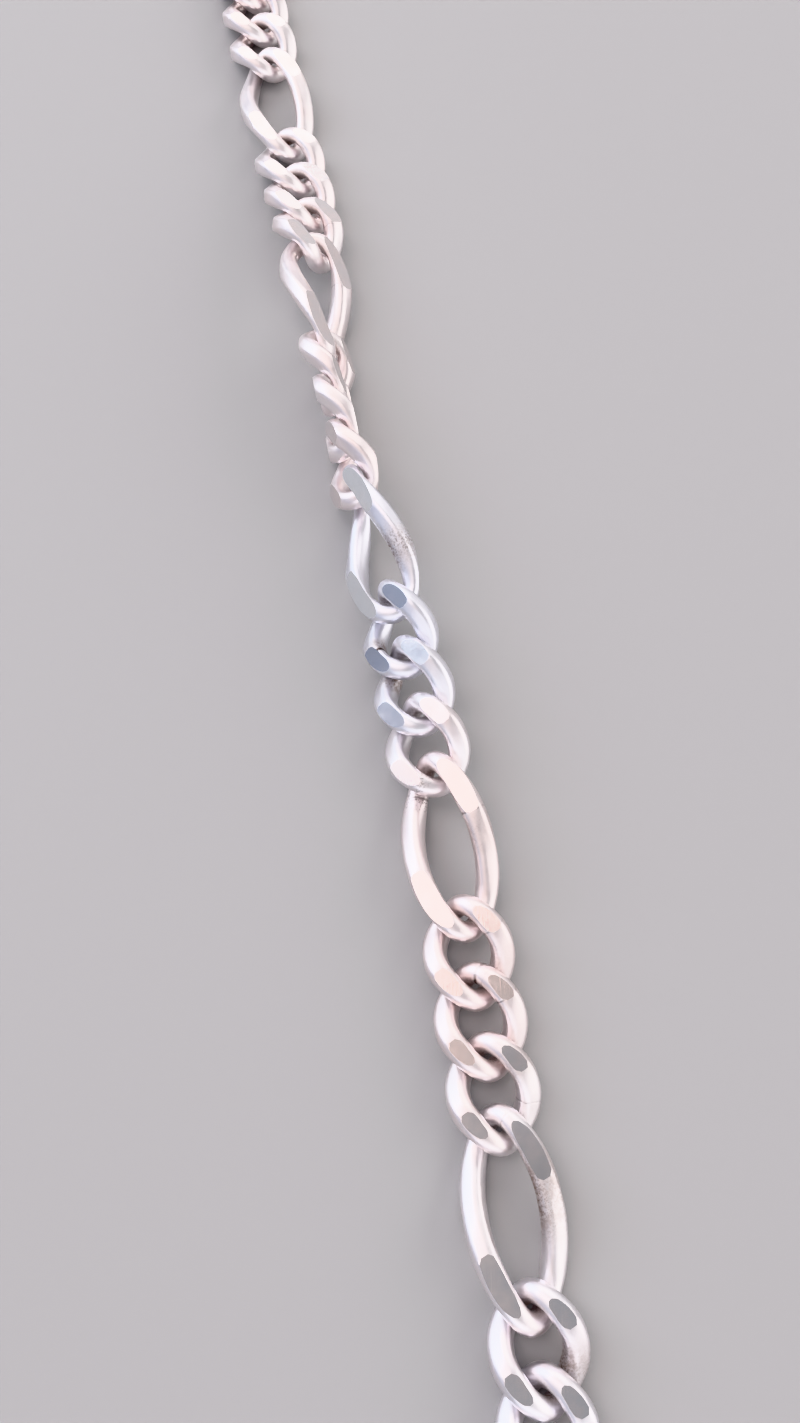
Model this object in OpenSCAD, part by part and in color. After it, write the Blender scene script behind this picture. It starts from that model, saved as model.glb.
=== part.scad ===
// A figaro chain necklace, closed at its clasp and lying flat on a surface. Three short links follow each
// long one. The links are bent from round wire, turned at the ends so that they lie side by side, and cut
// flat above and below. Millimetres, +Z up, with the middle of the whole loop over the origin.

/* [Links] */
// Width of a short link, over its two sides
short_w = 4.35; // [4.25:0.05:5]
// Width of a long link, over its two sides
long_w = 4.55; // [4.2:0.05:4.9]
// Height of the chain, between its flat cut faces
chain_h = 1.8; // [1.4:0.05:2.2]
// Thickness of the wire
wire_d = 1.04; // [0.8:0.02:1.1]
// Length of a short link, outside
short_l = 5.45; // [5.1:0.05:6.1]
// Length of a long link, outside
long_l = 9.45; // [8:0.05:10.5]
// Short links between one long link and the next
short_run = 3; // [1:2:5]
// Angle from a link's middle to its end
end_turn = 56; // [51:0.5:60]
// Fullness of a short link's outline, where 2 is an ellipse
short_full = 2.15; // [2.05:0.05:2.5]
// Fullness of a long link's outline, where 2 is an ellipse
long_full = 2.45; // [2.25:0.05:2.8]
// Least play at each joint of the chain as it lies
play = 0.22; // [0.16:0.01:0.32]

/* [Loop] */
// Width of the loop as it lies, along the middle of the chain
loop_w = 94; // [84:1:110]
// Length of the loop as it lies, along the middle of the chain
loop_l = 167.5; // [155:0.5:200]

/* [Clasp] */
// Length of the clasp's body
clasp_l = 9; // [5:0.5:16]
// Width of the clasp's body
clasp_w = 5.4; // [4.5:0.1:9]
// Thickness of the clasp's body
clasp_t = 2.2; // [1.8:0.05:3.5]
// Radius of the body's corners, seen from above
clasp_round = 1.6; // [0.4:0.1:2.2]
// Thickness of the wire of the clasp's two eyes
eye_wire = 0.75; // [0.5:0.05:0.85]
// Clearance of an end link in its eye
eye_play = 0.22; // [0.15:0.01:0.35]

/* [Hidden] */

// The route of the chain round its loop, one chosen point after another. It starts at the clasp.
ROUTE = [
    [-88, 4], [-88, -20], [-86.5, -42], [-78, -62], [-60, -76], [-38, -80.5], [-16, -76.5], [-0.5, -63.5],
    [5.5, -46], [6, -32], [4.8, -23], [3.5, -14.5], [2.3, -7.4], [0.75, 0], [-1.1, 7.5], [-3.1, 15],
    [-4.3, 22], [-5.35, 29.5], [-7.05, 37], [-8.8, 45.5], [-11, 55], [-15.5, 68], [-27, 81], [-45, 87],
    [-64, 84], [-79, 71], [-87, 50], [-88, 28]
];
// The width and length between the route's outermost points. The loop's own sizes stretch the route from these
DRAWN_W = 94;
DRAWN_L = 167.5;
// The point of the route on which link 0 lies, a long one
MIDDLE_POINT = 12;
// How the chain lies along its twisted stretch, where it turns right over: link by link, its roll to the left
// and its share of the slack
LINK = 0;
ROLL = 1;
SLACK = 2;
LIE = [
    [-8, 0, 1], [-3, 0, 1], [-2, 2, 1], [-1, 6, 1], [0, 13, 1], [1, 23, 1], [2, 33, 1], [3, 44, 1.1],
    [4, 57, 1.3], [5, 76.5, 1.05], [6, 94.5, 1.1], [7, 111.5, 1.2], [8, 134, 1.2], [9, 152.5, 1.1], [10, 166, 1],
    [11, 175, 1], [12, 180, 1]
];

// How finely the wire, the links, the route and the clasp's round shapes are drawn
WIRE_SIDES = 5;
SHORT_BENDS = 12;
LONG_BENDS = 16;
ROUTE_STEPS = 12;
CORNER_SIDES = 48;
EYE_SIDES = 48;
EYE_WIRE_SIDES = 24;
// The step, in degrees round a link, over which the way of its centre line is read
WAY_STEP = 2;
wire_r = wire_d / 2;

// One link: its centre line, the way that the line runs, and the wire round it
function bulge(v, full) = sign(v) * pow(abs(v), 2 / full);
function half_w(width) = (width - wire_d) / 2;
function half_l(length) = (length - wire_d) / 2;
function centre(a, width, length, full) =
    [half_w(width) * bulge(sin(a), full), half_l(length) * bulge(cos(a), full), 0];
function outward(a, width, length, full) =
    let (d = centre(a + WAY_STEP, width, length, full) - centre(a - WAY_STEP, width, length, full))
    [-d[1], d[0], 0] / norm([d[0], d[1]]);
function wire_point(a, b, width, length, full) =
    centre(a, width, length, full) + wire_r * (cos(b) * outward(a, width, length, full) + [0, 0, sin(b)]);

// The turn of the ends, and the flat cuts
function turned(p, length) =
    let (t = end_turn * p[1] / half_l(length))
    [p[0] * cos(t) - p[2] * sin(t), p[1], p[0] * sin(t) + p[2] * cos(t)];
function cut_flat(p) = [p[0], p[1], max(-chain_h / 2, min(chain_h / 2, p[2]))];

function link_points(width, length, full, bends) = [
    for (i = [0 : bends - 1])
        for (j = [0 : WIRE_SIDES - 1])
            cut_flat(turned(wire_point(i * 360 / bends, j * 360 / WIRE_SIDES, width, length, full), length))
];
function corner(i, j, bends) = (i % bends) * WIRE_SIDES + j % WIRE_SIDES;
function link_faces(bends) = [
    for (i = [0 : bends - 1])
        for (j = [0 : WIRE_SIDES - 1])
            for (half = [0, 1])
                half == 0
                    ? [corner(i, j, bends), corner(i, j + 1, bends), corner(i + 1, j + 1, bends)]
                    : [corner(i, j, bends), corner(i + 1, j + 1, bends), corner(i + 1, j, bends)]
];
short_points = link_points(short_w, short_l, short_full, SHORT_BENDS);
long_points = link_points(long_w, long_l, long_full, LONG_BENDS);
short_faces = link_faces(SHORT_BENDS);
long_faces = link_faces(LONG_BENDS);

// The route as a smooth closed curve through its points, measured along its length
function around(k) =
    let (p = ROUTE[(k + len(ROUTE)) % len(ROUTE)])
    [p[0] * loop_w / DRAWN_W, p[1] * loop_l / DRAWN_L];
function curve(k, u) =
    let (a = around(k - 1), b = around(k), c = around(k + 1), d = around(k + 2))
    b + u * (c - a) / 2 + u * u * (a - 2.5 * b + 2 * c - d / 2) + u * u * u * (1.5 * (b - c) + (d - a) / 2);
route_curve = [
    for (k = [0 : len(ROUTE) - 1])
        for (i = [0 : ROUTE_STEPS - 1])
            curve(k, i / ROUTE_STEPS),
    around(0)
];
route_run = [
    for (i = 0, run = 0; i < len(route_curve);
         run = run + (i + 1 < len(route_curve) ? norm(route_curve[i + 1] - route_curve[i]) : 0), i = i + 1)
        run
];
route_x = [for (i = [0 : len(route_run) - 1]) [route_run[i], route_curve[i][0]]];
route_y = [for (i = [0 : len(route_run) - 1]) [route_run[i], route_curve[i][1]]];
route_l = route_run[len(route_run) - 1];
middle_run = route_run[MIDDLE_POINT * ROUTE_STEPS];
function place(run) = [lookup(run, route_x), lookup(run, route_y)];

// Each eye of the clasp is a ring that holds an end link's wire and leans until it touches the surface
eye_in = wire_d / 2 + eye_play;
eye_bend = eye_in + eye_wire / 2;
eye_rise = chain_h / 2;
eye_lean = asin((eye_rise - eye_wire / 2) / eye_bend);
chain_from_clasp = clasp_l / 2 + 2 * eye_in - eye_play;

// The chain is laid from link 0 both ways, with as many links as reach the clasp
function is_long(i) = i % (short_run + 1) == 0;
function length(i) = is_long(i) ? long_l : short_l;
function tight(i) = (length(i) + length(i + 1)) / 2 - 2 * wire_d;
function lie(i, column) = lookup(i, [for (row = LIE) [row[LINK], row[column]]]);
function total(list, i = 0) = i < len(list) ? list[i] + total(list, i + 1) : 0;
function reach(count) = total([for (i = [0 : count - 1]) tight(i)]) + length(count) / 2 - wire_d;
function count_to(run, count = 1) = reach(count) - play * count >= run ? count : count_to(run, count + 1);
function slack_of(run, count, way) =
    (reach(count) - run) / total([for (i = [0 : count - 1]) lie(way * i, SLACK)]);
function runs(count, slack, way) = [
    for (i = 0, run = 0; i <= count; run = run + tight(i) - slack * lie(way * i, SLACK), i = i + 1)
        run
];

ahead_run = route_l - middle_run - chain_from_clasp;
back_run = middle_run - chain_from_clasp;
ahead_count = count_to(ahead_run);
back_count = count_to(back_run);
ahead_runs = runs(ahead_count, slack_of(ahead_run, ahead_count, 1), 1);
back_runs = runs(back_count, slack_of(back_run, back_count, -1), -1);
function link_run(i) = middle_run + (i < 0 ? -back_runs[-i] : ahead_runs[i]);

// Where each link lies. It leans over by its roll, and each joint is as high as the higher of its two links has
// to be, so a link nods from joint to joint
function rolled(p, roll) = [p[0] * cos(roll) - p[2] * sin(roll), p[1], p[0] * sin(roll) + p[2] * cos(roll)];
function nodded(p, nod) = [p[0], p[1] * cos(nod) - p[2] * sin(nod), p[1] * sin(nod) + p[2] * cos(nod)];
function headed(p, way) = [p[0] * way[1] + p[1] * way[0], p[1] * way[1] - p[0] * way[0], p[2]];
function lowest(points, roll, nod) = min([for (p = points) nodded(rolled(p, roll), nod)[2]]);
function link_shape(i) = is_long(i) ? long_points : short_points;
function link_way(i) =
    let (d = place(link_run(i) + half_l(length(i))) - place(link_run(i) - half_l(length(i))))
    d / norm(d);
function flat_rise(i) = -lowest(link_shape(i), lie(i, ROLL), 0);
function joint_rise(i) = max(flat_rise(max(i, -back_count)), flat_rise(min(i + 1, ahead_count)));
function link_nod(i) = atan((joint_rise(i) - joint_rise(i - 1)) / (length(i) - 2 * wire_d));
function link_rise(i) =
    max((joint_rise(i) + joint_rise(i - 1)) / 2, -lowest(link_shape(i), lie(i, ROLL), link_nod(i)));

PLACE = 0;
WAY = 1;
TILT = 2;
NOD = 3;
RISE = 4;
LONG = 5;
laid = [
    for (i = [-back_count : ahead_count])
        [place(link_run(i)), link_way(i), lie(i, ROLL), link_nod(i), link_rise(i), is_long(i)]
];

// The middle of everything that is laid, seen from above
outline = concat([around(0) - [clasp_w / 2, 0]], [
    for (row = laid)
        for (p = row[LONG] ? long_points : short_points)
            let (turned_p = headed(nodded(rolled(p, row[TILT]), row[NOD]), row[WAY]))
            row[PLACE] + [turned_p[0], turned_p[1]]
]);
middle = [
    for (k = [0, 1])
        let (values = [for (p = outline) p[k]]) (max(values) + min(values)) / 2
];

module laid_links(long) {
    for (row = laid)
        if (row[LONG] == long)
            translate([row[PLACE][0] - middle[0], row[PLACE][1] - middle[1], row[RISE]])
                rotate([0, 0, -atan2(row[WAY][0], row[WAY][1])])
                    rotate([row[NOD], 0, 0])
                        rotate([0, -row[TILT], 0])
                            polyhedron(long ? long_points : short_points, long ? long_faces : short_faces);
}

module short_links() {
    color("silver") laid_links(false);
}

module long_links() {
    color("silver") laid_links(true);
}

// The clasp's own place, with +Y along the chain's route
module at_clasp() {
    way = route_curve[1] - route_curve[0];
    translate([around(0)[0] - middle[0], around(0)[1] - middle[1], 0])
        rotate([0, 0, -atan2(way[0], way[1])])
            children();
}

module rounded_plate(width, length, thick, round) {
    linear_extrude(thick) {
        square([width - 2 * round, length], center = true);
        square([width, length - 2 * round], center = true);
        for (x = [-1, 1])
            for (y = [-1, 1])
                translate([x * (width / 2 - round), y * (length / 2 - round)])
                    circle(r = round, $fn = CORNER_SIDES);
    }
}

module eye(way) {
    translate([0, way * (clasp_l / 2 + eye_in), eye_rise])
        rotate([0, -way * eye_lean, 0])
            rotate_extrude($fn = EYE_SIDES)
                translate([eye_bend, 0])
                    circle(d = eye_wire, $fn = EYE_WIRE_SIDES);
}

module clasp() {
    color("silver") at_clasp() {
        rounded_plate(clasp_w, clasp_l, clasp_t, clasp_round);
        eye(1);
        eye(-1);
    }
}

short_links();
long_links();
clasp();
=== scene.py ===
# Figaro chain necklace in silver, lying flat in one loop. Sizes in millimetres until a mesh is finished
import math
import random

import bmesh
import bpy
from mathutils import Matrix, Vector, noise


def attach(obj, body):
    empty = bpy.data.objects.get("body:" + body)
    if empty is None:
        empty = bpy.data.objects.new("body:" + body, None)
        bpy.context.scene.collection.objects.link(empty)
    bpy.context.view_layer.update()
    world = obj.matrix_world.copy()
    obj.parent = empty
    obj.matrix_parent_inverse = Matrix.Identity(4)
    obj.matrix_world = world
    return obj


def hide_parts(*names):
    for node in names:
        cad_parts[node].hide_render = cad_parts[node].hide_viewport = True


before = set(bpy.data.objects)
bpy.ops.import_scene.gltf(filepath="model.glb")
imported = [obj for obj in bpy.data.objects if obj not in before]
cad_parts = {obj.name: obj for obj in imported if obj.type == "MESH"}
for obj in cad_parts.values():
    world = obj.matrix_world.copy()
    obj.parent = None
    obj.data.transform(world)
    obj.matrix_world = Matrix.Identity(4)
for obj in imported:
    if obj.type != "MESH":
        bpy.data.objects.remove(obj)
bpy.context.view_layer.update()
scene = bpy.context.scene
mm = 0.001


# Camera, set as the photograph was taken: close above the chain, leaning a little along it
shot = {
    "aim": (41.131, -3.258),  # the point of the surface at the middle of the picture
    "height": 56.92,
    "back": 22.54,
    "lean": 21.6,
    "lens": 30.358,
    "clip": (0.002, 20),  # in metres
}


def setCamera():
    data = bpy.data.cameras.new("camera")
    data.lens = shot["lens"]
    data.clip_start, data.clip_end = shot["clip"]
    camera = bpy.data.objects.new("camera", data)
    camera.location = (shot["aim"][0] * mm, (shot["aim"][1] - shot["back"]) * mm, shot["height"] * mm)
    camera.rotation_euler = (math.radians(shot["lean"]), 0, 0)
    scene.collection.objects.link(camera)
    scene.camera = camera


setCamera()
print("camera set")


# How the chain is laid: its route round the loop, and its roll and share of the slack along the stretch
# where it turns right over, by the links' numbers
lay = {
    "route": [
        (-88, 4), (-88, -20), (-86.5, -42), (-78, -62), (-60, -76), (-38, -80.5), (-16, -76.5), (-0.5, -63.5),
        (5.5, -46), (6, -32), (4.8, -23), (3.5, -14.5), (2.3, -7.4), (0.75, 0), (-1.1, 7.5), (-3.1, 15),
        (-4.3, 22), (-5.35, 29.5), (-7.05, 37), (-8.8, 45.5), (-11, 55), (-15.5, 68), (-27, 81), (-45, 87),
        (-64, 84), (-79, 71), (-87, 50), (-88, 28)],
    "steps": 12,  # from each point of the route to the next
    "startPoint": 12,  # link 0 lies here, a long one
    "middle": (-41.1314, 3.2577),  # of the loop, which comes to the origin
    "rolls": [
        (-8, 0), (-3, 0), (-2, 2), (-1, 6), (0, 13), (1, 23), (2, 33), (3, 44), (4, 57), (5, 76.5), (6, 94.5),
        (7, 111.5), (8, 134), (9, 152.5), (10, 166), (11, 175), (12, 180)],
    "slacks": [
        (-8, 1), (2, 1), (3, 1.1), (4, 1.3), (5, 1.05), (6, 1.1), (7, 1.2), (8, 1.2), (9, 1.1), (10, 1),
        (12, 1)],
    "layWire": 1.04,  # the spacing is reckoned with this wire
    "shortRun": 3,
    "play": 0.22,  # a joint has at least this slack, on average
    "claspReach": 5.76,  # from the clasp's middle to the inside of the last link
}
# The outlines of the two kinds of link. An oval is 2 full, and more is squarer
short = {"width": 4.31, "length": 5.45, "full": 2.15}
long = {"width": 4.49, "length": 9.45, "full": 2.45}
# The wire of both. Places along a link run from 0 at the middle of its sides to 1 at its ends
wire = {
    "thick": 1.1,
    "height": 1.8,  # over the two flat cuts
    "ringRadius": 2.5,  # of the plain ring that every link is drawn out from
    "outlineTurn": 56,  # degrees that the ends are turned by, as the outline is drawn
    "endFall": 0.1,  # the turning eases off by this much in the end
    "fallFrom": 0.75,
    "press": 0.23,  # flatter where the links cross
    "pressAt": 0.74,
    "pressSpread": 0.28,
    "square": 1.7,  # squarer at the middle of the sides, more so on the inside
    "squareInside": 1.8,
    "squareTo": 0.7,
    "squareSlim": 0.07,
    "dome": 24,  # degrees that the broad faces lean outwards there
    "fuller": 0.16,  # thicker on the inside there
    "fullerTo": 0.6,
    "wornAway": 0.1,  # thinner inside the ends
    "wornFrom": 0.6,
    "endSlim": 0.04,
    "rimGap": 0.05,  # points closer to a flat cut's rim than this join it
    "edge": 0.065,  # the rim's softened edge
    "edgeSteps": 3,
    "lookAhead": 0.02,  # radians, to tell which way the wire runs
    "joinWithin": 0.0005,
    "sameLevel": 0.001,
}
# How far the ends of each link are turned, in degrees: more where the chain itself turns over
turns = [(-2, 44), (-1, 45), (0, 48), (1, 48), (2, 49), (3, 51), (4, 54), (9, 54), (10, 49), (11, 46),
         (12, 44)]


def between(value, rows):
    if value <= rows[0][0]:
        return rows[0][1]
    for (a, p), (b, q) in zip(rows, rows[1:]):
        if value <= b:
            return p + (q - p) * (value - a) / (b - a)
    return rows[-1][1]


# A smooth closed line through the points of the route, and how far along it each step lies
def routeRows():
    points = [Vector(p) for p in lay["route"]]
    count = len(points)
    line = []
    for k in range(count):
        a, b, c, d = (points[(k + step) % count] for step in (-1, 0, 1, 2))
        for i in range(lay["steps"]):
            u = i / lay["steps"]
            line.append(b + u * (c - a) / 2 + u * u * (a - 2.5 * b + 2 * c - d / 2)
                        + u ** 3 * (1.5 * (b - c) + (d - a) / 2))
    line.append(points[0])
    runs = [0.0]
    for a, b in zip(line, line[1:]):
        runs.append(runs[-1] + (b - a).length)
    return runs, line


routeRuns, routeLine = routeRows()


def placeAt(run):
    low, high = 0, len(routeRuns) - 1
    while high - low > 1:
        half = (low + high) // 2
        low, high = (half, high) if routeRuns[half] <= run else (low, half)
    share = (run - routeRuns[low]) / (routeRuns[high] - routeRuns[low])
    return routeLine[low].lerp(routeLine[high], share)


def isLong(i):
    return i % (lay["shortRun"] + 1) == 0


def kindOf(i):
    return long if isLong(i) else short


def pitchAfter(i):
    return (kindOf(i)["length"] + kindOf(i + 1)["length"]) / 2 - 2 * lay["layWire"]


# As many links as reach the clasp, with the slack shared out among their joints
def runsOneWay(run, way):
    def reach(count):
        return sum(pitchAfter(i) for i in range(count)) + kindOf(count)["length"] / 2 - lay["layWire"]

    count = 1
    while reach(count) - lay["play"] * count < run:
        count += 1
    shares = [between(way * i, lay["slacks"]) for i in range(count)]
    slack = (reach(count) - run) / sum(shares)
    runs = [0.0]
    for i in range(count):
        runs.append(runs[-1] + pitchAfter(i) - slack * shares[i])
    return runs


def bulge(value, full):
    return math.copysign(abs(value) ** (2 / full), value)


def halfSizes(kind):
    return (kind["width"] - wire["thick"]) / 2, (kind["length"] - wire["thick"]) / 2


def leanAt(turn, along):
    ending = max(0.0, abs(along) - wire["fallFrom"]) / (1 - wire["fallFrom"])
    return math.radians(turn * along * (1 - wire["endFall"] * ending))


# The middle line of the wire: the oval seen from above, and its height as the ends are turned
def linkCentre(kind, turn, angle):
    halfW, halfL = halfSizes(kind)
    along = bulge(math.cos(angle), kind["full"])
    narrowing = math.cos(math.radians(wire["outlineTurn"] * along))
    across = halfW * bulge(math.sin(angle), kind["full"]) * narrowing
    return Vector((across, halfL * along, across * math.tan(leanAt(turn, along))))


# One link: a ring of round wire, drawn out to its outline, turned at its ends and cut flat on both sides
def bendLink(kind, turn, rings, sides):
    bm = bmesh.new()
    bmesh.ops.create_circle(
        bm, cap_ends=False, segments=sides, radius=wire["thick"] / 2,
        matrix=Matrix.Translation((0, wire["ringRadius"], 0)) @ Matrix.Rotation(math.pi / 2, 4, "Y"))
    bmesh.ops.spin(
        bm, geom=bm.verts[:] + bm.edges[:], cent=(0, 0, 0), axis=(0, 0, 1), dvec=(0, 0, 0),
        angle=2 * math.pi, steps=rings, use_merge=True, use_normal_flip=False, use_duplicate=False)
    bmesh.ops.remove_doubles(bm, verts=bm.verts[:], dist=wire["joinWithin"])
    wearShadeAndTone = bm.verts.layers.float_color.new("wearShadeAndTone")
    for vert in bm.verts:
        angle = math.atan2(vert.co.x, vert.co.y)
        out = math.hypot(vert.co.x, vert.co.y) - wire["ringRadius"]
        rise = vert.co.z
        centre = linkCentre(kind, turn, angle)
        before = linkCentre(kind, turn, angle - wire["lookAhead"])
        after = linkCentre(kind, turn, angle + wire["lookAhead"])
        ahead = (after - before).normalized()
        along = abs(math.cos(angle)) ** (2 / kind["full"])
        lean = leanAt(turn, math.copysign(along, math.cos(angle)))
        outward = ahead.cross(Vector((-math.sin(lean), 0, math.cos(lean)))).normalized() * -1
        # at the middle of each side the wire is pressed a little square, its broad faces leaning outwards
        middle = max(0.0, 1 - (along / wire["squareTo"]) ** 2)
        power = 2 + wire["square"] * middle ** 1.5 * (wire["squareInside"] if out < 0 else 1)
        around = math.atan2(rise, out)
        leaning = around + math.radians(wire["dome"]) * math.sin(around) * middle
        squared = (abs(math.cos(leaning)) ** power + abs(math.sin(leaning)) ** power) ** (-1 / power)
        squared *= 1 - wire["squareSlim"] * middle
        out, rise = out * squared, rise * squared
        # fuller at the middle of each side, and worn a little thinner inside the ends, where links rub
        end = max(0.0, along - wire["wornFrom"]) / (1 - wire["wornFrom"])
        if out < 0:
            out *= (1 - wire["wornAway"] * min(1.0, 2 * end)
                    + wire["fuller"] * max(0.0, 1 - (along / wire["fullerTo"]) ** 2))
        offset = (outward * out + ahead.cross(outward) * rise) * (1 - wire["endSlim"] * min(1.0, 2 * end))
        offset.z *= 1 - wire["press"] * math.exp(-((along - wire["pressAt"]) / wire["pressSpread"]) ** 2)
        # grime gathers inside the ends too, with painted shade where the links cross there
        inside = max(0.0, -out / (wire["thick"] / 2))
        vert[wearShadeAndTone] = (end * inside, angle / (2 * math.pi) + 0.5, inside, 1)
        vert.co = centre + offset
    bmesh.ops.recalc_face_normals(bm, faces=bm.faces[:])
    for side in (1, -1):
        cutFlat(bm, side)
    for face in bm.faces:
        face.smooth = face.material_index == 0
    bmesh.ops.recalc_face_normals(bm, faces=bm.faces[:])
    mesh = bpy.data.meshes.new("link")
    bm.to_mesh(mesh)
    bm.free()
    return mesh


def cutFlat(bm, side):
    level = side * wire["height"] / 2
    cut = bmesh.ops.bisect_plane(
        bm, geom=bm.verts[:] + bm.edges[:] + bm.faces[:], dist=0.0001, plane_co=(0, 0, level),
        plane_no=(0, 0, side), use_snap_center=False, clear_outer=True, clear_inner=False)
    rim = [part for part in cut["geom_cut"] if isinstance(part, bmesh.types.BMVert)]
    rimSet = set(rim)
    merge = {}
    for vert in rim:
        for edge in vert.link_edges:
            other = edge.other_vert(vert)
            if other not in rimSet and other not in merge and edge.calc_length() < wire["rimGap"]:
                merge[other] = vert
    if merge:
        bmesh.ops.weld_verts(bm, targetmap=merge)
    rimEdges = [edge for edge in bm.edges if edge.is_boundary]
    bmesh.ops.edgeloop_fill(bm, edges=rimEdges, mat_nr=1, use_smooth=False)

    def onCut(face):
        return face.material_index == 1 and abs(face.calc_center_median().z - level) < wire["sameLevel"]

    flatEdges = [edge for edge in bm.edges
                 if len(edge.link_faces) == 2 and sum(onCut(face) for face in edge.link_faces) == 1]
    bmesh.ops.bevel(
        bm, geom=flatEdges, offset=wire["edge"], offset_type="OFFSET", segments=wire["edgeSteps"],
        profile=0.5, affect="EDGES", clamp_overlap=True, material=-1, loop_slide=True)
    # the softened edge is polished like the wire
    for face in bm.faces:
        if face.material_index == 1 and abs(face.normal.z) < 0.999:
            face.material_index = 0


def lowest(points, roll, nod):
    turn = Matrix.Rotation(nod, 3, "X") @ Matrix.Rotation(-roll, 3, "Y")
    return min((turn @ p).z for p in points)


# Where each link lies: its number and its matrix, in millimetres. Neighbours meet at the height that the
# higher of them needs, and each link nods from one of its joints to the other
def layLinks(points):
    total = routeRuns[-1]
    start = routeRuns[lay["startPoint"] * lay["steps"]]
    ahead = runsOneWay(total - start - lay["claspReach"], 1)
    back = runsOneWay(start - lay["claspReach"], -1)
    first, last = 1 - len(back), len(ahead) - 1
    run = {i: start + (ahead[i] if i >= 0 else -back[-i]) for i in range(first, last + 1)}
    roll = {i: math.radians(between(i, lay["rolls"])) for i in run}
    flat = {i: -lowest(points(i), roll[i], 0) for i in run}
    joint = {i: max(flat[max(i, first)], flat[min(i + 1, last)]) for i in range(first - 1, last + 1)}
    placed = []
    for i in run:
        kind = kindOf(i)
        half = (kind["length"] - lay["layWire"]) / 2
        way = placeAt(run[i] + half) - placeAt(run[i] - half)
        nod = math.atan((joint[i] - joint[i - 1]) / (kind["length"] - 2 * lay["layWire"]))
        rise = max((joint[i] + joint[i - 1]) / 2, -lowest(points(i), roll[i], nod))
        spot = placeAt(run[i]) - Vector(lay["middle"])
        placed.append((i, Matrix.Translation((spot.x, spot.y, rise))
                       @ Matrix.Rotation(-math.atan2(way.x, way.y), 4, "Z")
                       @ Matrix.Rotation(nod, 4, "X") @ Matrix.Rotation(-roll[i], 4, "Y")))
    return placed


def finishPiece(bm, name, materials, node):
    mesh = bpy.data.meshes.new(name)
    bm.to_mesh(mesh)
    bm.free()
    mesh.transform(Matrix.Scale(mm, 4))
    for material in materials:
        mesh.materials.append(material)
    piece = bpy.data.objects.new(name, mesh)
    scene.collection.objects.link(piece)
    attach(piece, "root")
    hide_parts(node)
    print(name, "has", len(mesh.polygons), "faces")


# Helpers for the materials
def addNode(tree, kind, values=None, **settings):
    made = tree.nodes.new(kind)
    for key, value in settings.items():
        setattr(made, key, value)
    for key, value in (values or {}).items():
        made.inputs[key].default_value = value
    return made


def startMaterial(name):
    material = bpy.data.materials.new(name)
    material.use_nodes = True
    return material, material.node_tree, material.node_tree.nodes["Principled BSDF"]


def objectCoords(tree):
    return addNode(tree, "ShaderNodeTexCoord").outputs["Object"]


def mapRange(tree, source, low, high, fromLow=0.0, fromHigh=1.0):
    values = {"From Min": fromLow, "From Max": fromHigh, "To Min": low, "To Max": high}
    made = addNode(tree, "ShaderNodeMapRange", values)
    tree.links.new(source, made.inputs["Value"])
    return made.outputs["Result"]


def noiseAt(tree, coords, scale, detail=3.0, rough=0.5):
    made = addNode(tree, "ShaderNodeTexNoise", {"Scale": scale, "Detail": detail, "Roughness": rough})
    tree.links.new(coords, made.inputs["Vector"])
    return made.outputs["Fac"]


# Coordinates turned flat on the ground and drawn out one way, so that a pattern becomes lines
def drawnOut(tree, coords, turn, squeeze):
    made = addNode(tree, "ShaderNodeMapping", {"Rotation": (0, 0, turn), "Scale": (1, squeeze, 1)})
    tree.links.new(coords, made.inputs["Vector"])
    return made.outputs["Vector"]


# The result is held between 0 and 1
def combine(tree, how, a, b):
    made = addNode(tree, "ShaderNodeMath", operation=how, use_clamp=True)
    for socket, value in zip(made.inputs, (a, b)):
        if isinstance(value, (int, float)):
            socket.default_value = value
        else:
            tree.links.new(value, socket)
    return made.outputs[0]


def mixColour(tree, factor, a, b):
    made = addNode(tree, "ShaderNodeMix", data_type="RGBA")
    tree.links.new(factor, made.inputs["Factor"])
    colours = [s for s in made.inputs if s.type == "RGBA"]
    for socket, value in zip(colours, (a, b)):
        if isinstance(value, tuple):
            socket.default_value = value
        else:
            tree.links.new(value, socket)
    return [s for s in made.outputs if s.type == "RGBA"][0]


def bumpOf(tree, height, distance, strength, normal=None):
    made = addNode(tree, "ShaderNodeBump", {"Distance": distance, "Strength": strength})
    tree.links.new(height, made.inputs["Height"])
    if normal is not None:
        tree.links.new(normal, made.inputs["Normal"])
    return made.outputs["Normal"]


# Colours of the silver: the grime colour also serves as painted shade inside the ends, and warm and cool also
# give each link its painted reflection colour. Scales of the patterns are per metre, and depths are in metres
silver = {
    "wire": (0.95, 0.905, 0.915, 1), "warm": (0.96, 0.86, 0.855, 1), "cool": (0.86, 0.875, 0.95, 1),
    "grimeAndShade": (0.23, 0.165, 0.13, 1), "dark": (0.07, 0.05, 0.045, 1),
    "cutCool": (0.80, 0.83, 0.87, 1), "cutWarm": (0.98, 0.86, 0.83, 1), "cutDullAndShade": (0.55, 0.53, 0.52, 1),
}
polished = {
    "broad": 380, "mottle": 2400, "fine": 9000, "waves": 700, "grains": 5200,
    "rough": (0.3, 0.4), "grimeAndShadeRough": 0.35,
    "relief": 0.00003, "fineRelief": 0.000004,
}
satin = {
    "mottle": 900, "smear": 2600, "rub": 9000, "scratch": 3800,
    "rough": (0.1, 0.15), "smearRough": 0.06,
    "rubDepth": 0.000008, "scratchDepth": 0.000006,
    "rubTurn": 0.6, "scratchTurn": -0.9,
}


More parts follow.
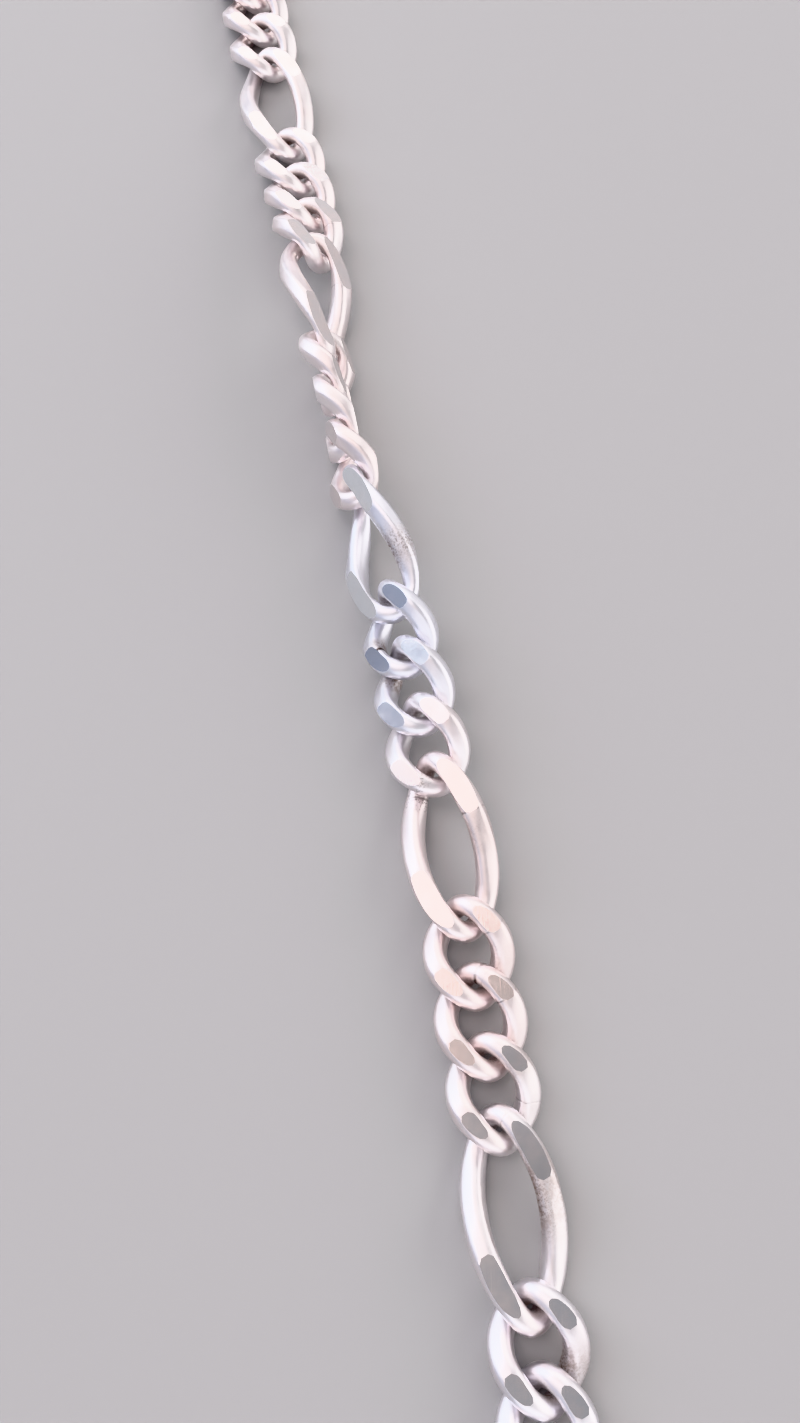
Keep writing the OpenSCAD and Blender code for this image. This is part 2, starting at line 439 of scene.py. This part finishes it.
# What each point of the wire says of itself: grime with painted shade, grains, tone with its painted
# reflection colour, and how strongly its seam shows
def wearShadeAndToneParts(tree):
    wearShadeAndTone = addNode(tree, "ShaderNodeVertexColor", layer_name="wearShadeAndTone")
    parts = addNode(tree, "ShaderNodeSeparateColor")
    tree.links.new(wearShadeAndTone.outputs["Color"], parts.inputs["Color"])
    return {"grimeAndShade": parts.outputs["Red"], "grains": parts.outputs["Green"], "tone": parts.outputs["Blue"],
            "seam": wearShadeAndTone.outputs["Alpha"]}


def wireMaterial():
    material, tree, shader = startMaterial("polished_silver_wire")
    coords = objectCoords(tree)
    wornShadedAndTinted = wearShadeAndToneParts(tree)
    tone = wornShadedAndTinted["tone"]
    seamAway = addNode(tree, "ShaderNodeAttribute", attribute_name="seam").outputs["Fac"]
    broad = noiseAt(tree, coords, polished["broad"], 2)
    mottle = noiseAt(tree, coords, polished["mottle"], 5, 0.65)
    fine = noiseAt(tree, coords, polished["fine"], 3, 0.7)
    # tarnish and painted shade lie in patches, thickest inside the ends, where the links cross
    patch = combine(tree, "ADD", mapRange(tree, mottle, 0, 0.6, 0.42, 0.62),
                    mapRange(tree, fine, 0, 0.7, 0.5, 0.62))
    patch = combine(tree, "ADD", combine(tree, "MULTIPLY", patch, 0.8), 0.45)
    grimeAndShade = combine(tree, "MULTIPLY", wornShadedAndTinted["grimeAndShade"], patch)
    # a solder seam is a thin dark line that wanders, and grains are pits in a rough patch
    wander = combine(tree, "ADD", combine(tree, "ABSOLUTE", seamAway, 0), mapRange(tree, fine, -0.3, 0.3))
    crack = combine(tree, "MULTIPLY", mapRange(tree, wander, 1, 0, 0.15, 0.6), wornShadedAndTinted["seam"])
    pit = combine(tree, "MULTIPLY", mapRange(tree, fine, 0, 1, 0.52, 0.66), wornShadedAndTinted["grains"])
    metal = mixColour(tree, mapRange(tree, broad, 0, 0.7, 0.4, 0.62), silver["wire"], silver["warm"])
    # the tone tints each link warm or cool, a painted reflection of the light that link catches
    metal = mixColour(tree, mapRange(tree, tone, 0, 0.8, 0.45, 1), metal, silver["warm"])
    metal = mixColour(tree, mapRange(tree, tone, 0.9, 0, 0, 0.45), metal, silver["cool"])
    # the brown is grime with painted shade inside the ends
    colour = mixColour(tree, grimeAndShade, metal, silver["grimeAndShade"])
    colour = mixColour(tree, combine(tree, "MAXIMUM", crack, pit), colour, silver["dark"])
    tree.links.new(colour, shader.inputs["Base Color"])
    shader.inputs["Metallic"].default_value = 1
    polish = mapRange(tree, mottle, *polished["rough"], 0.3, 0.7)
    rough = combine(tree, "ADD", polish, mapRange(tree, grimeAndShade, 0, polished["grimeAndShadeRough"]))
    tree.links.new(rough, shader.inputs["Roughness"])
    # the surface: soft waves, grains where it is pitted or dirty, the sunken seam and a fine skin
    waves = bumpOf(tree, noiseAt(tree, coords, polished["waves"], 2), polished["relief"], 0.25)
    grains = addNode(tree, "ShaderNodeBump", {"Distance": polished["relief"]})
    tree.links.new(noiseAt(tree, coords, polished["grains"], 2, 0.5), grains.inputs["Height"])
    grainy = combine(tree, "ADD", combine(tree, "MULTIPLY", wornShadedAndTinted["grains"], 0.9),
                     combine(tree, "MULTIPLY", grimeAndShade, 0.4))
    tree.links.new(grainy, grains.inputs["Strength"])
    tree.links.new(waves, grains.inputs["Normal"])
    sunk = bumpOf(tree, mapRange(tree, crack, 1, 0), polished["relief"], 0.8, grains.outputs["Normal"])
    tree.links.new(bumpOf(tree, fine, polished["fineRelief"], 0.25, sunk), shader.inputs["Normal"])
    return material


def cutMaterial():
    material, tree, shader = startMaterial("satin_flat_cut")
    coords = objectCoords(tree)
    wornShadedAndTinted = wearShadeAndToneParts(tree)
    mottle = noiseAt(tree, coords, satin["mottle"], 4, 0.6)
    smear = noiseAt(tree, coords, satin["smear"], 4, 0.65)
    # the flat cuts take the same painted reflection colour, warm or cool by link, mottled at random
    shade = combine(tree, "ADD", wornShadedAndTinted["tone"], mapRange(tree, mottle, -0.15, 0.15, 0.35, 0.65))
    colour = mixColour(tree, shade, silver["cutCool"], silver["cutWarm"])
    # the flat cuts turn duller and darker in random smears, and with the grime and painted shade inside the
    # ends
    dullAndShade = combine(tree, "ADD", combine(tree, "MULTIPLY", wornShadedAndTinted["grimeAndShade"], 0.6),
                   mapRange(tree, smear, 0, 0.16, 0.45, 0.75))
    tree.links.new(mixColour(tree, dullAndShade, colour, silver["cutDullAndShade"]), shader.inputs["Base Color"])
    shader.inputs["Metallic"].default_value = 1
    rough = combine(tree, "ADD", mapRange(tree, mottle, *satin["rough"], 0.3, 0.7),
                    mapRange(tree, smear, 0, satin["smearRough"], 0.35, 0.65))
    tree.links.new(rough, shader.inputs["Roughness"])
    # fine lines left by the cutting, and a few longer scratches
    rub = noiseAt(tree, drawnOut(tree, coords, satin["rubTurn"], 0.06), satin["rub"], 3, 0.6)
    rub = bumpOf(tree, rub, satin["rubDepth"], 0.14)
    scratch = noiseAt(tree, drawnOut(tree, coords, satin["scratchTurn"], 0.03), satin["scratch"], 2, 0.5)
    scratch = mapRange(tree, scratch, 0, 1, 0.66, 0.74)
    tree.links.new(bumpOf(tree, scratch, satin["scratchDepth"], 0.2, rub), shader.inputs["Normal"])
    return material


wireSilver = wireMaterial()
cutSilver = cutMaterial()
print("materials made")


# The links themselves. The stretch that is seen close up is drawn more finely
detail = {
    "closeFrom": -9, "closeTo": 17,
    "closeRings": 84, "closeSides": 20, "farRings": 48, "farSides": 14,
    "longMore": 16,  # rings that a long link has more
    "dent": 0.008,  # depth of the soft dents, which fade out beside the flat cuts
    "dentsPerMm": 1.1,
    "dentFade": 0.12,
    # how strongly the grime and painted shade inside the ends show, at random per link
    "grimeAndShadeRange": (0.55, 1.0),
    "toneSpread": 0.1,
    "markTurn": 45,  # the turn of the middle line that the marks are measured on
    "markSpan": 1.1,  # radians round the link that a mark can reach at most
    "seamSpan": 0.5,
    "noSeam": 9.0,
    "plainSeams": (-80, 80, 100, -100),  # where the seam of a link with no marks may be, in degrees
    "seamSpread": 12,
}
# How warm the silver is painted, link by link, as a painted reflection of the warm and bluish light each link
# catches: cool grey at the near end, warmest beside the long link 0
reflectionTones = [(-6, 0.2), (-4, 0.3), (-3, 0.5), (-2, 0.95), (-1, 1.1), (0, 0.85), (1, 0.3), (2, 0.05), (4, 0.1),
         (5, 0.6), (12, 0.55)]
# Marks on single links: degrees round the link from its far end, reach along the wire in mm, strength
marks = {
    -6: [("tarnish", 118, 1.6, 0.7), ("seam", 100, 0.1, 0.3)],
    -5: [("tarnish", 112, 1.5, 0.9)],
    -4: [("tarnish", 80, 2.6, 1.0), ("seam", 22, 0.12, 0.4)],
    -3: [("tarnish", 60, 1.0, 0.5), ("seam", 100, 0.1, 0.35)],
    -2: [("seam", 21, 0.2, 0.9), ("seam", 66, 0.12, 0.6)],
    -1: [("seam", 66, 0.1, 0.45), ("tarnish", 95, 0.9, 0.4)],
    0: [("grains", -56, 0.8, 1.0), ("seam", -53, 0.15, 0.6), ("seam", 76, 0.14, 0.6),
        ("tarnish", 88, 1.2, 0.45)],
    1: [("grains", -150, 0.5, 0.7)],
    2: [("tarnish", -70, 0.8, 0.9)],
    3: [("seam", -120, 0.24, 1.0), ("tarnish", -112, 0.7, 0.8)],
    4: [("tarnish", 102, 1.5, 1.0), ("grains", 100, 1.0, 0.6)],
    5: [("tarnish", 150, 0.7, 0.6)],
}


def addLink(bm, template, place, number):
    firstVert = len(bm.verts)
    bm.from_mesh(template)
    bm.verts.ensure_lookup_table()
    wearShadeAndTone = bm.verts.layers.float_color["wearShadeAndTone"]
    seam = bm.verts.layers.float["seam"]
    chance = random.Random(number * 7 + 3)
    shift = Vector((chance.uniform(-50, 50), chance.uniform(-50, 50), chance.uniform(-50, 50)))
    # how strongly this link's grime and painted shade inside its ends show
    grimeAndShadeScale = chance.uniform(*detail["grimeAndShadeRange"])
    # the tone is a painted reflection colour, warm or cool by link, with a little random spread
    tone = between(number, reflectionTones) + chance.uniform(-detail["toneSpread"], detail["toneSpread"])
    # a link with no marks of its own has one faint seam on a side
    spread = detail["seamSpread"]
    plainSeam = [("seam", chance.choice(detail["plainSeams"]) + chance.uniform(-spread, spread), 0.08, 0.25)]
    spots = []
    for mark, degrees, reach, strength in marks.get(number, plainSeam):
        angle = math.radians(degrees)
        middle = linkCentre(kindOf(number), detail["markTurn"], angle)
        after = linkCentre(kindOf(number), detail["markTurn"], angle + wire["lookAhead"])
        ahead = (after - middle).normalized()
        spots.append((mark, angle, middle, ahead, reach, strength))
    for vert in bm.verts[firstVert:]:
        grimeAndShade, turn, inside = vert[wearShadeAndTone][0] * grimeAndShadeScale, (vert[wearShadeAndTone][1] - 0.5) * 2 * math.pi, vert[wearShadeAndTone][2]
        grains, seamAway, seamStrong = 0.0, detail["noSeam"], 0.0
        for mark, angle, middle, ahead, reach, strength in spots:
            away = (vert.co - middle).dot(ahead)
            apart = abs((turn - angle + math.pi) % (2 * math.pi) - math.pi)
            if apart > detail["markSpan"]:
                continue
            if mark == "seam":
                # how far along the wire the seam is, in units of its own reach, fading out away from it
                if apart < detail["seamSpan"]:
                    seamAway = away / reach
                    seamStrong = strength * min(1.0, 2 - 4 * apart) * min(1.0, 0.4 + 1.2 * inside)
            elif mark == "grains":
                grains = max(grains, strength * max(0.0, 1 - abs(away) / reach))
            else:
                grimeAndShade = max(grimeAndShade, strength * (0.55 + 0.45 * inside) * max(0.0, 1 - (away / reach) ** 2))
        lift = min(1.0, (wire["height"] / 2 - abs(vert.co.z)) / detail["dentFade"])
        if lift > 0.02:
            swell = noise.noise(vert.co * detail["dentsPerMm"] + shift)
            vert.co += vert.normal * detail["dent"] * lift * swell
        vert[wearShadeAndTone] = (grimeAndShade, grains, tone, seamStrong)
        vert[seam] = seamAway
        vert.co = place @ vert.co
    low = min(vert.co.z for vert in bm.verts[firstVert:])
    bmesh.ops.translate(bm, verts=bm.verts[firstVert:], vec=(0, 0, max(0.0, -low)))


def buildLinks():
    templates = {}

    def isClose(i):
        return detail["closeFrom"] <= i <= detail["closeTo"]

    def template(i):
        key = (isLong(i), isClose(i), round(between(i, turns)))
        if key not in templates:
            distance = "close" if isClose(i) else "far"
            rings = detail[distance + "Rings"] + (detail["longMore"] if isLong(i) else 0)
            templates[key] = bendLink(kindOf(i), key[2], rings, detail[distance + "Sides"])
        return templates[key]

    placed = layLinks(lambda i: [vert.co for vert in template(i).vertices])
    print("links laid:", len(placed), "from", len(templates), "shapes")
    for longOnes, node in ((False, "short_links"), (True, "long_links")):
        for close, name in ((True, node + "_front"), (False, node + "_round")):
            bm = bmesh.new()
            bm.verts.layers.float_color.new("wearShadeAndTone")
            bm.verts.layers.float.new("seam")
            for i, place in placed:
                if isLong(i) == longOnes and isClose(i) == close:
                    addLink(bm, template(i), place, i)
            finishPiece(bm, name, (wireSilver, cutSilver), node)


buildLinks()


# The clasp: one plain plate with softened edges and a wire eye at each end
clasp = {
    "place": (-46.8686, 0.7423),
    "length": 9, "width": 5.398, "thick": 2.2,
    "round": 1.6, "roundSteps": 10,
    "soften": 0.28, "softenSteps": 5,
    "eyeWire": 0.75,
    "eyeIn": 0.74,  # half the eye's opening
    "eyeRise": 0.9,
    "eyeSides": 16, "eyeRings": 40,
    "tone": 0.5,
}


def smoothFaces(bm):
    for face in bm.faces:
        face.smooth = True


def claspPlate(bm):
    bmesh.ops.create_cube(bm, size=1, matrix=Matrix.Translation((0, 0, clasp["thick"] / 2))
                          @ Matrix.Diagonal((clasp["width"], clasp["length"], clasp["thick"], 1)))
    upright = [e for e in bm.edges if abs(e.verts[0].co.z - e.verts[1].co.z) > clasp["thick"] / 2]
    bmesh.ops.bevel(
        bm, geom=upright, offset=clasp["round"], offset_type="OFFSET", segments=clasp["roundSteps"],
        profile=0.5, affect="EDGES", clamp_overlap=True, material=-1)
    level = [e for e in bm.edges if abs(e.verts[0].co.z - e.verts[1].co.z) < wire["sameLevel"]]
    bmesh.ops.bevel(
        bm, geom=level, offset=clasp["soften"], offset_type="OFFSET", segments=clasp["softenSteps"],
        profile=0.5, affect="EDGES", clamp_overlap=True, material=-1)
    smoothFaces(bm)


# Each eye has one side inside the plate, and is tilted about the clasp's length till it rests on the ground
def claspEye(way):
    bend = clasp["eyeIn"] + clasp["eyeWire"] / 2
    lean = math.asin((clasp["eyeRise"] - clasp["eyeWire"] / 2) / bend)
    ring = bmesh.new()
    bmesh.ops.create_circle(
        ring, cap_ends=False, segments=clasp["eyeSides"], radius=clasp["eyeWire"] / 2,
        matrix=Matrix.Translation((bend, 0, 0)) @ Matrix.Rotation(math.pi / 2, 4, "X"))
    bmesh.ops.spin(
        ring, geom=ring.verts[:] + ring.edges[:], cent=(0, 0, 0), axis=(0, 0, 1), dvec=(0, 0, 0),
        angle=2 * math.pi, steps=clasp["eyeRings"], use_merge=True, use_normal_flip=False,
        use_duplicate=False)
    bmesh.ops.remove_doubles(ring, verts=ring.verts[:], dist=wire["joinWithin"])
    bmesh.ops.recalc_face_normals(ring, faces=ring.faces[:])
    smoothFaces(ring)
    bmesh.ops.transform(
        ring, verts=ring.verts[:],
        matrix=Matrix.Translation((0, way * (clasp["length"] / 2 + clasp["eyeIn"]), clasp["eyeRise"]))
        @ Matrix.Rotation(-way * lean, 4, "Y"))
    eye = bpy.data.meshes.new("eye")
    ring.to_mesh(eye)
    ring.free()
    return eye


def buildClasp():
    bm = bmesh.new()
    claspPlate(bm)
    for way in (1, -1):
        bm.from_mesh(claspEye(way))
    wearShadeAndTone = bm.verts.layers.float_color.new("wearShadeAndTone")
    seam = bm.verts.layers.float.new("seam")
    for vert in bm.verts:
        vert[wearShadeAndTone] = (0, 0, clasp["tone"], 1)
        vert[seam] = detail["noSeam"]
    way = placeAt(1) - placeAt(0)
    bmesh.ops.transform(bm, verts=bm.verts[:], matrix=Matrix.Translation((*clasp["place"], 0))
                        @ Matrix.Rotation(-math.atan2(way.x, way.y), 4, "Z"))
    finishPiece(bm, "clasp_body", (wireSilver,), "clasp")


buildClasp()


# The light, in metres: a soft tent all round, and five soft boxes in it. The tent's foot is bluish at the
# left and paler at the right, and dimmer low down at the left and in a gap there. Overhead it is grey, and
# warm up at the left. Each span is part of a direction, from -1 to 1: across, away or up
tent = {
    "leftFoot": (0.60, 0.63, 0.74, 1), "rightFoot": (0.80, 0.76, 0.765, 1), "footAcross": (-0.5, 0.5),
    "gap": (0.43, 0.46, 0.59, 1), "gapNear": (-0.12, -0.02), "gapFar": (0.2, 0.32), "gapAcross": (-0.5, -0.1),
    "lowLeft": (0.28, 0.29, 0.36, 1), "lowUp": (0.02, 0.24), "lowAcross": (-0.4, 0.1),
    "top": (0.40, 0.39, 0.405, 1), "topLeft": (0.84, 0.73, 0.69, 1), "topAcross": (-0.12, 0.08),
    "topUp": (0.4, 0.92),
    "strength": 1.0,
}
# Each box: place, width, height, power, colour. One hangs high at the left, the others stand lower around
boxes = {
    "high": ((-0.335, 0.17, 0.88), 0.45, 0.6, 2.9, (1.0, 0.91, 0.915)),
    "left": ((-0.60, 0.44, 0.42), 0.62, 0.5, 5.0, (0.88, 0.93, 1.0)),
    "right": ((0.80, -0.03, 0.38), 1.1, 0.50, 5.0, (1.0, 0.975, 0.96)),
    "front": ((0.10, -0.80, 0.36), 0.9, 0.30, 2.2, (0.97, 0.97, 1.0)),
    "far": ((0.05, 0.80, 0.62), 0.85, 0.40, 4.0, (1.0, 0.965, 0.94)),
}
boxAim = (0.03, 0, 0)
floorLook = {"colour": (0.33, 0.327, 0.332, 1), "rough": 0.75, "half": 3, "drop": 0.00003}


def buildTent():
    world = bpy.data.worlds.new("soft_tent")
    world.use_nodes = True
    tree = world.node_tree
    way = addNode(tree, "ShaderNodeSeparateXYZ")
    tree.links.new(addNode(tree, "ShaderNodeTexCoord").outputs["Generated"], way.inputs[0])
    across, away, up = (way.outputs[key] for key in ("X", "Y", "Z"))
    foot = mapRange(tree, across, 0, 1, *tent["footAcross"])
    foot = mixColour(tree, foot, tent["leftFoot"], tent["rightFoot"])
    gap = combine(tree, "MULTIPLY", mapRange(tree, away, 0, 1, *tent["gapNear"]),
                  mapRange(tree, away, 1, 0, *tent["gapFar"]))
    gap = combine(tree, "MULTIPLY", gap, mapRange(tree, across, 1, 0, *tent["gapAcross"]))
    foot = mixColour(tree, gap, foot, tent["gap"])
    low = combine(tree, "MULTIPLY", mapRange(tree, up, 1, 0, *tent["lowUp"]),
                  mapRange(tree, across, 1, 0, *tent["lowAcross"]))
    foot = mixColour(tree, low, foot, tent["lowLeft"])
    top = mixColour(tree, mapRange(tree, across, 1, 0, *tent["topAcross"]), tent["top"], tent["topLeft"])
    light = mixColour(tree, mapRange(tree, up, 0, 1, *tent["topUp"]), foot, top)
    tree.links.new(light, tree.nodes["Background"].inputs["Color"])
    tree.nodes["Background"].inputs["Strength"].default_value = tent["strength"]
    scene.world = world


def buildFloor():
    bm = bmesh.new()
    bmesh.ops.create_grid(bm, x_segments=1, y_segments=1, size=floorLook["half"])
    mesh = bpy.data.meshes.new("floor")
    bm.to_mesh(mesh)
    bm.free()
    mesh.transform(Matrix.Translation((0, 0, -floorLook["drop"])))
    floor = bpy.data.objects.new("floor", mesh)
    scene.collection.objects.link(floor)
    material, tree, shader = startMaterial("pale_floor")
    shader.inputs["Base Color"].default_value = floorLook["colour"]
    shader.inputs["Roughness"].default_value = floorLook["rough"]
    mesh.materials.append(material)


def hangBoxes():
    for name, (spot, sizeX, sizeY, power, colour) in boxes.items():
        data = bpy.data.lights.new(name + "_light", "AREA")
        data.shape = "RECTANGLE"
        data.size = sizeX
        data.size_y = sizeY
        data.energy = power
        data.color = colour
        light = bpy.data.objects.new(name + "_light", data)
        light.location = spot
        light.rotation_euler = (Vector(boxAim) - Vector(spot)).to_track_quat("-Z", "Y").to_euler()
        scene.collection.objects.link(light)


buildFloor()
buildTent()
hangBoxes()
scene.view_settings.view_transform = "Khronos PBR Neutral"
print("floor and lights made")
